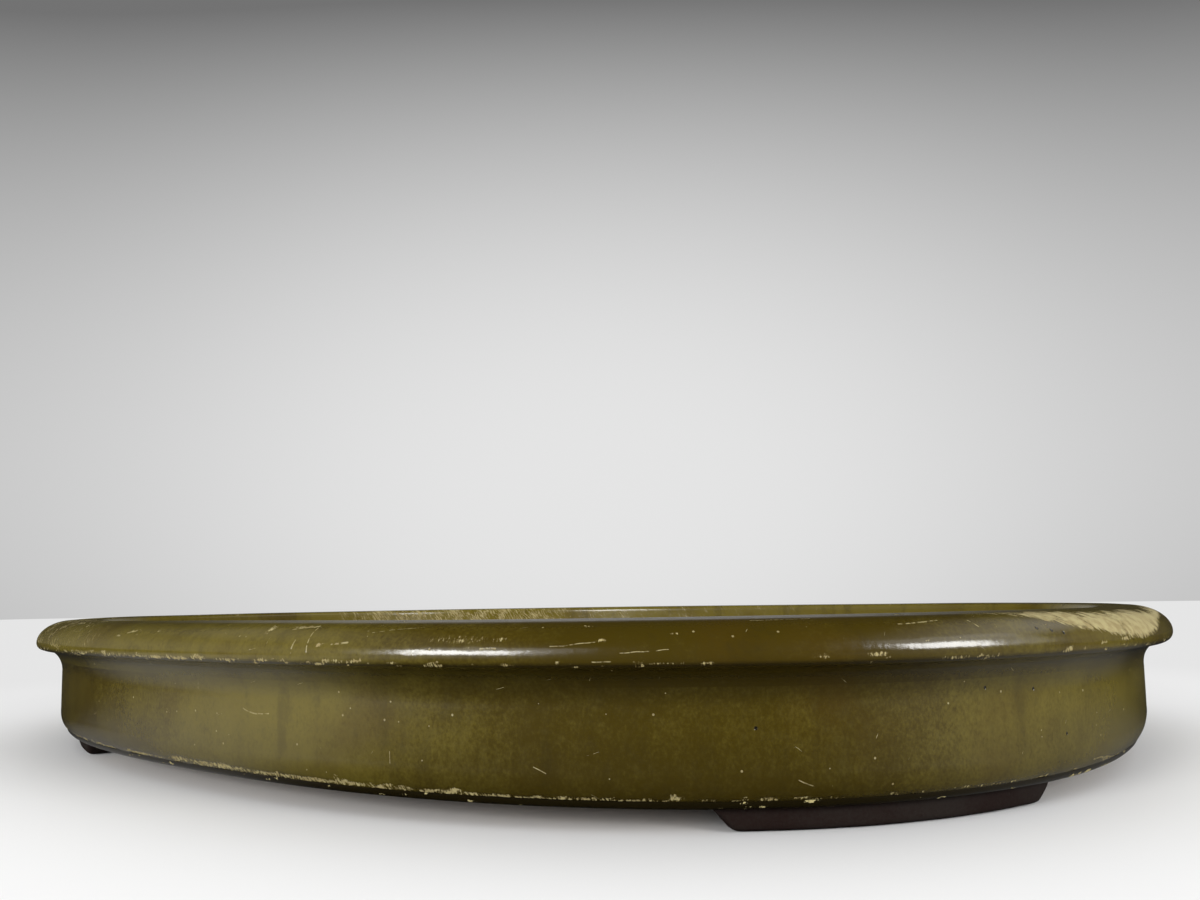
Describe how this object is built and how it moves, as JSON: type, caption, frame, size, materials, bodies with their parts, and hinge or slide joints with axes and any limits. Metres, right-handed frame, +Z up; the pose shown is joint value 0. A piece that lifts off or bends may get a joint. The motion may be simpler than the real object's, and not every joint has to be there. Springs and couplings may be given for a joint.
{
  "type": "oval bonsai pot",
  "caption": "Shallow oval bonsai pot of glazed stoneware with a heavy rounded lip over a low wall, curved feet, and drain and tie holes in its floor.",
  "frame": {"origin": "on the ground under the middle of the pot", "axes": "+X along the long axis, towards the right; +Y across, towards the back; +Z up"},
  "size_m": [0.48, 0.408, 0.049],
  "materials": {
    "lip_glaze": "glossy olive glaze, worn to cream at the edges",
    "wall_glaze": "glossy olive-brown glaze",
    "floor_clay": "bare fired clay, matt",
    "coil_clay": "bare fired clay, matt",
    "foot_clay": "bare dark clay, smooth"
  },
  "bodies": {
    "root": {"lip": "lip_glaze", "wall": "wall_glaze", "floor": "floor_clay", "corner_coil": "coil_clay", "foot_front_right": "foot_clay", "foot_front_left": "foot_clay", "foot_back_right": "foot_clay", "foot_back_left": "foot_clay"}
  },
  "joints": []
}
